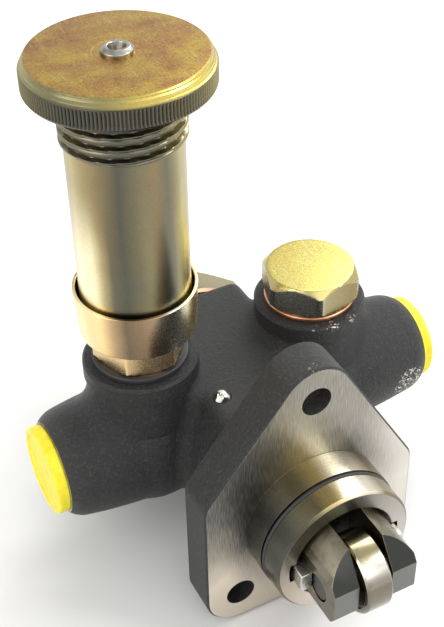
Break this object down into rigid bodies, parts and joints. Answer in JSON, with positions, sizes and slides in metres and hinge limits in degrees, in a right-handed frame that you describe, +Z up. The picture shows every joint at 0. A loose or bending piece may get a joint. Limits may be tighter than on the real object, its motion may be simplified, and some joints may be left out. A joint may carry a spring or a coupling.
{
  "type": "fuel lift pump",
  "caption": "Flanged fuel lift pump: cam roller tappet in a pilot spigot, sprung piston, two valve towers with side ports, and a hand primer with a knurled knob.",
  "frame": {"origin": "centre of the pilot spigot on the flange's mounting face", "axes": "+Y from the cam side into the pump, +Z up along the hand primer, +X from the inlet port to the outlet port"},
  "size_m": [0.1312, 0.1279, 0.1636],
  "materials": {
    "casting": "black painted casting with bare machined faces",
    "zinc_yellow": "yellow zinc passivated steel",
    "bright_steel": "ground bright steel",
    "dark_steel": "oiled turned steel",
    "copper": "soft copper",
    "rubber": "black rubber",
    "cap_yellow": "yellow polyethylene"
  },
  "bodies": {
    "housing": {"casting": "casting", "spigot_o_ring": "rubber", "tappet_snap_ring": "bright_steel", "rear_plug": "zinc_yellow", "rear_plug_seal": "copper", "sealing_ball": "bright_steel", "delivery_plug": "zinc_yellow", "delivery_washer": "copper", "primer_base": "zinc_yellow", "primer_washer": "rubber", "primer_barrel": "zinc_yellow", "rod_guide": "dark_steel", "piston_spring": "bright_steel", "suction_valve_spring": "bright_steel", "delivery_valve_spring": "bright_steel"},
    "tappet": {"tappet_body": "dark_steel", "roller_pin": "bright_steel", "guide_block_left": "bright_steel", "guide_block_right": "bright_steel"},
    "roller": {"tappet_roller": "bright_steel"},
    "spindle": {"spindle": "bright_steel"},
    "piston": {"piston": "dark_steel"},
    "suction_valve": {"suction_valve": "bright_steel"},
    "delivery_valve": {"delivery_valve": "bright_steel"},
    "primer_piston": {"primer_piston": "dark_steel", "primer_piston_seal": "rubber"},
    "primer_knob": {"primer_knob": "zinc_yellow", "primer_rod": "bright_steel", "primer_nut": "bright_steel"},
    "inlet_cap": {"inlet_cap": "cap_yellow"},
    "outlet_cap": {"outlet_cap": "cap_yellow"}
  },
  "joints": [
    {"name": "tappet_slide", "type": "slide", "parent": "housing", "child": "tappet", "axis": [0, 1, 0], "range_m": [0, 0.008], "stiffness_N_per_m": 800, "springref_m": -0.012, "deforming": ["piston_spring"]},
    {"name": "roller_spin", "type": "hinge", "parent": "tappet", "child": "roller", "pos_m": [0, -0.0247, 0], "axis": [1, 0, 0], "continuous": true},
    {"name": "spindle_slide", "type": "slide", "parent": "housing", "child": "spindle", "axis": [0, 1, 0], "range_m": [0, 0.008]},
    {"name": "piston_slide", "type": "slide", "parent": "housing", "child": "piston", "axis": [0, 1, 0], "range_m": [0, 0.008], "deforming": ["piston_spring"]},
    {"name": "suction_valve_lift", "type": "slide", "parent": "housing", "child": "suction_valve", "axis": [0, 0, 1], "range_m": [0, 0.0015], "stiffness_N_per_m": 100, "springref_m": -0.004, "deforming": ["suction_valve_spring"]},
    {"name": "delivery_valve_lift", "type": "slide", "parent": "housing", "child": "delivery_valve", "axis": [0, 0, 1], "range_m": [0, 0.0015], "stiffness_N_per_m": 100, "springref_m": -0.004, "deforming": ["delivery_valve_spring"]},
    {"name": "primer_stroke", "type": "slide", "parent": "housing", "child": "primer_piston", "axis": [0, 0, 1], "range_m": [0, 0.03]},
    {"name": "primer_knob_turn", "type": "hinge", "parent": "primer_piston", "child": "primer_knob", "pos_m": [-0.0284, 0.051, 0.12], "axis": [0, 0, 1], "continuous": true},
    {"name": "inlet_cap_pull", "type": "slide", "parent": "housing", "child": "inlet_cap", "axis": [-1, 0, 0], "range_m": [0, 0.045]},
    {"name": "outlet_cap_pull", "type": "slide", "parent": "housing", "child": "outlet_cap", "axis": [1, 0, 0], "range_m": [0, 0.045]}
  ],
  "couplings": [
    {"joint": "spindle_slide", "follows": "tappet_slide", "ratio": 1},
    {"joint": "piston_slide", "follows": "tappet_slide", "ratio": 1}
  ]
}
